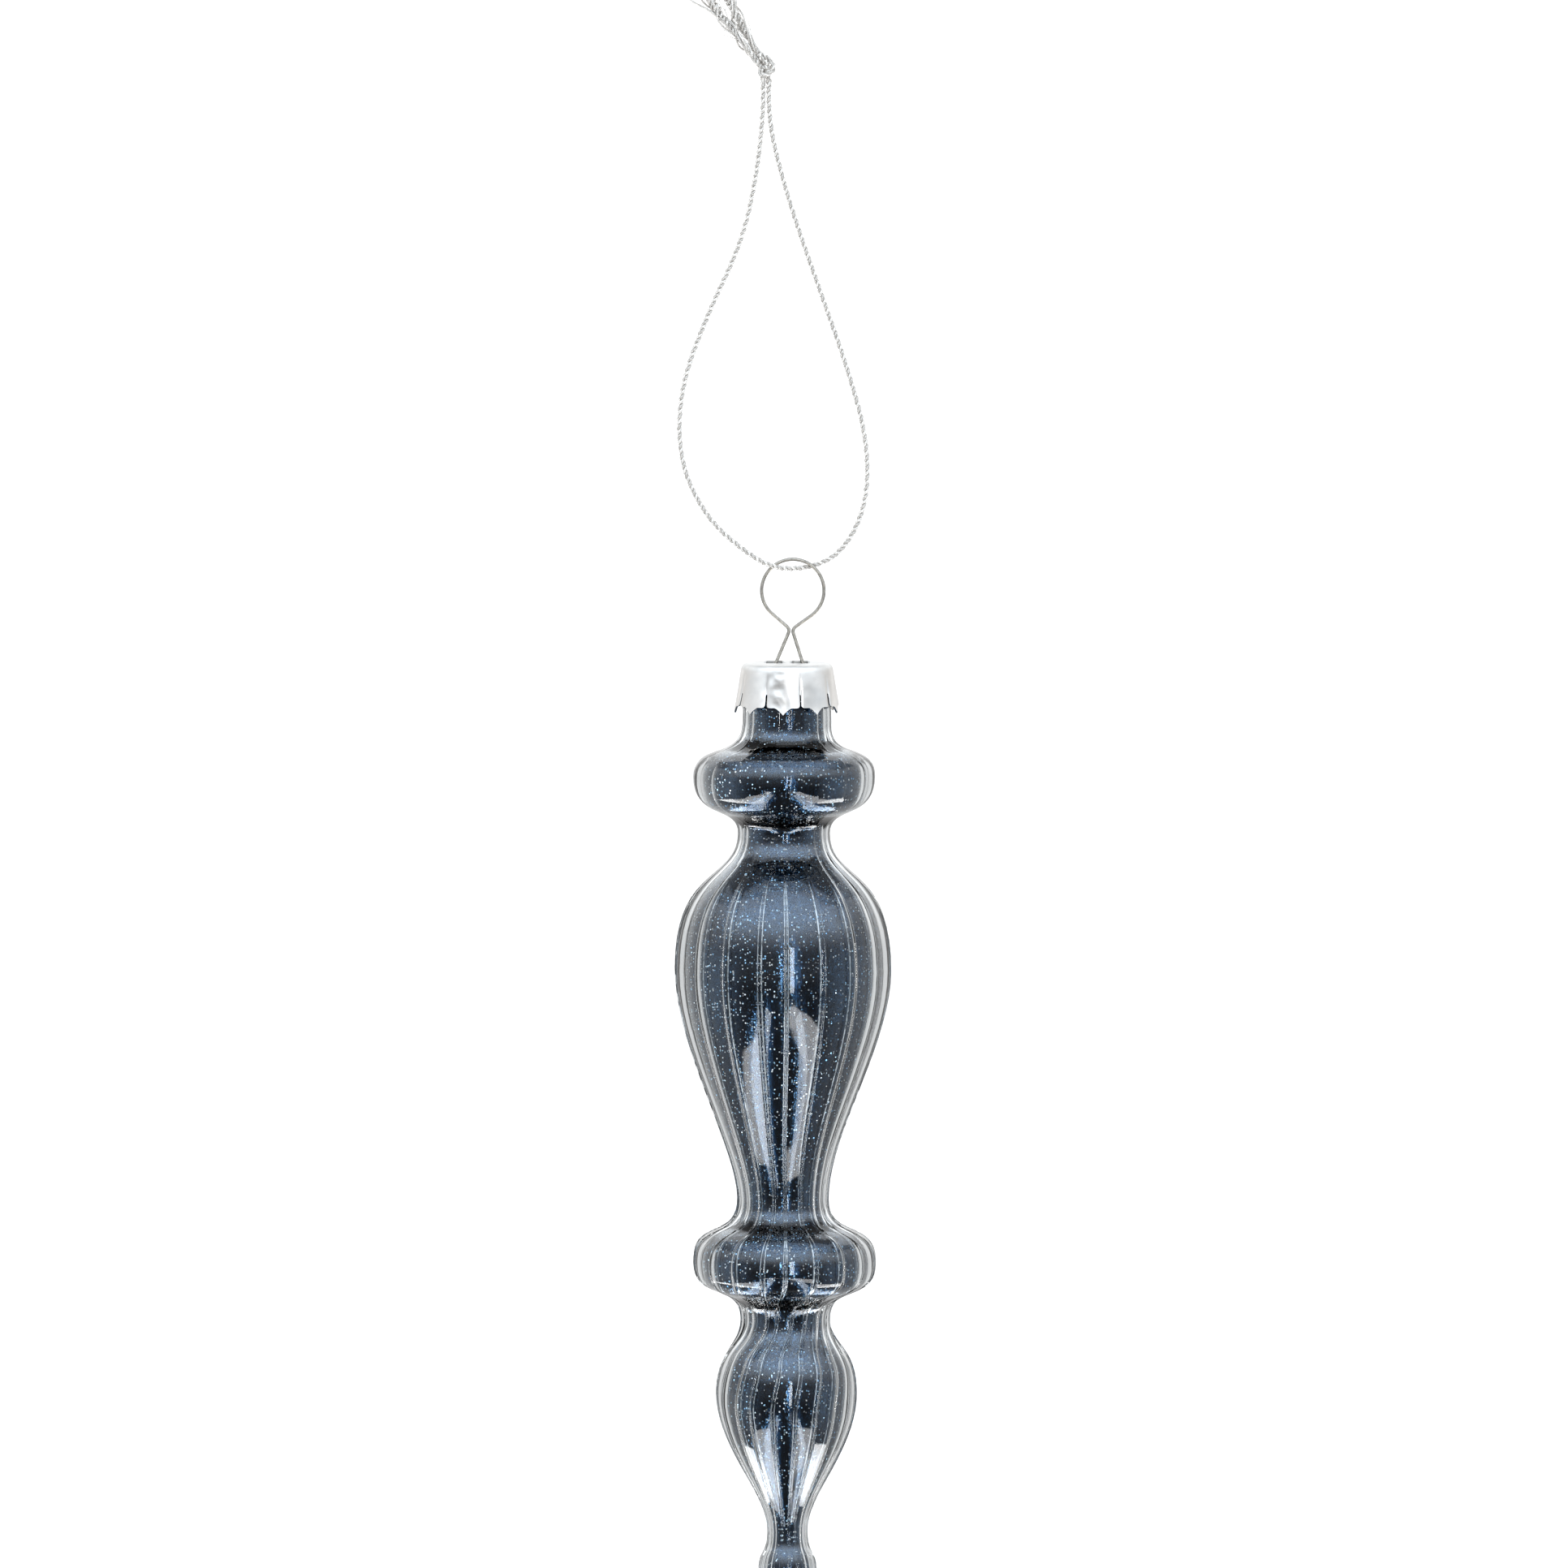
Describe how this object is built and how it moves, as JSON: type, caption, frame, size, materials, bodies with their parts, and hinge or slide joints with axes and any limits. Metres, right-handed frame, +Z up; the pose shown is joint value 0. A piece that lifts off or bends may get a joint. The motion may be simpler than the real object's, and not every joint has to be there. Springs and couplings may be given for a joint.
{
  "type": "icicle hanging ornament",
  "caption": "Ribbed blown-glass icicle with a dark glitter lining, under a pressed petal-edged metal cap with a sprung wire hanger and a knotted metallic cord loop.",
  "frame": {"origin": "the hang point, where the two legs of the cord loop close under the knot", "axes": "+Z up, against the pull of the hanging glass; +X to the right and -Y towards the viewer, as the wire ring's plane faces"},
  "size_m": [0.0336, 0.0332, 0.2824],
  "materials": {
    "clear_glass": "clear, polished, with fine moulded ribs",
    "glitter_lacquer": "dark navy lacquer with fine silver and blue glitter",
    "cap_metal": "bright, crumpled pressed sheet",
    "hanger_steel": "satin drawn wire",
    "metallic_cord": "silver metallic thread, two strands twisted"
  },
  "bodies": {
    "cord": {"cord_loop": "metallic_cord", "cord_knot": "metallic_cord", "cord_tail_left": "metallic_cord", "cord_tail_right": "metallic_cord"},
    "hanger": {"hanger_wire": "hanger_steel"},
    "cap": {"crimp_cap": "cap_metal"},
    "glass": {"glass_body": "clear_glass", "glitter_lining": "glitter_lacquer"}
  },
  "joints": [
    {"name": "hanger_swing", "type": "hinge", "parent": "cord", "child": "hanger", "pos_m": [0.0041, 0, -0.07475], "axis": [0, 1, 0], "range_deg": [-60, 60]},
    {"name": "cap_slide", "type": "slide", "parent": "hanger", "child": "cap", "axis": [0, 0, 1], "range_m": [-0.0008, 0.0008]},
    {"name": "glass_pull", "type": "slide", "parent": "cap", "child": "glass", "axis": [0, 0, -1], "range_m": [0, 0.02]}
  ]
}
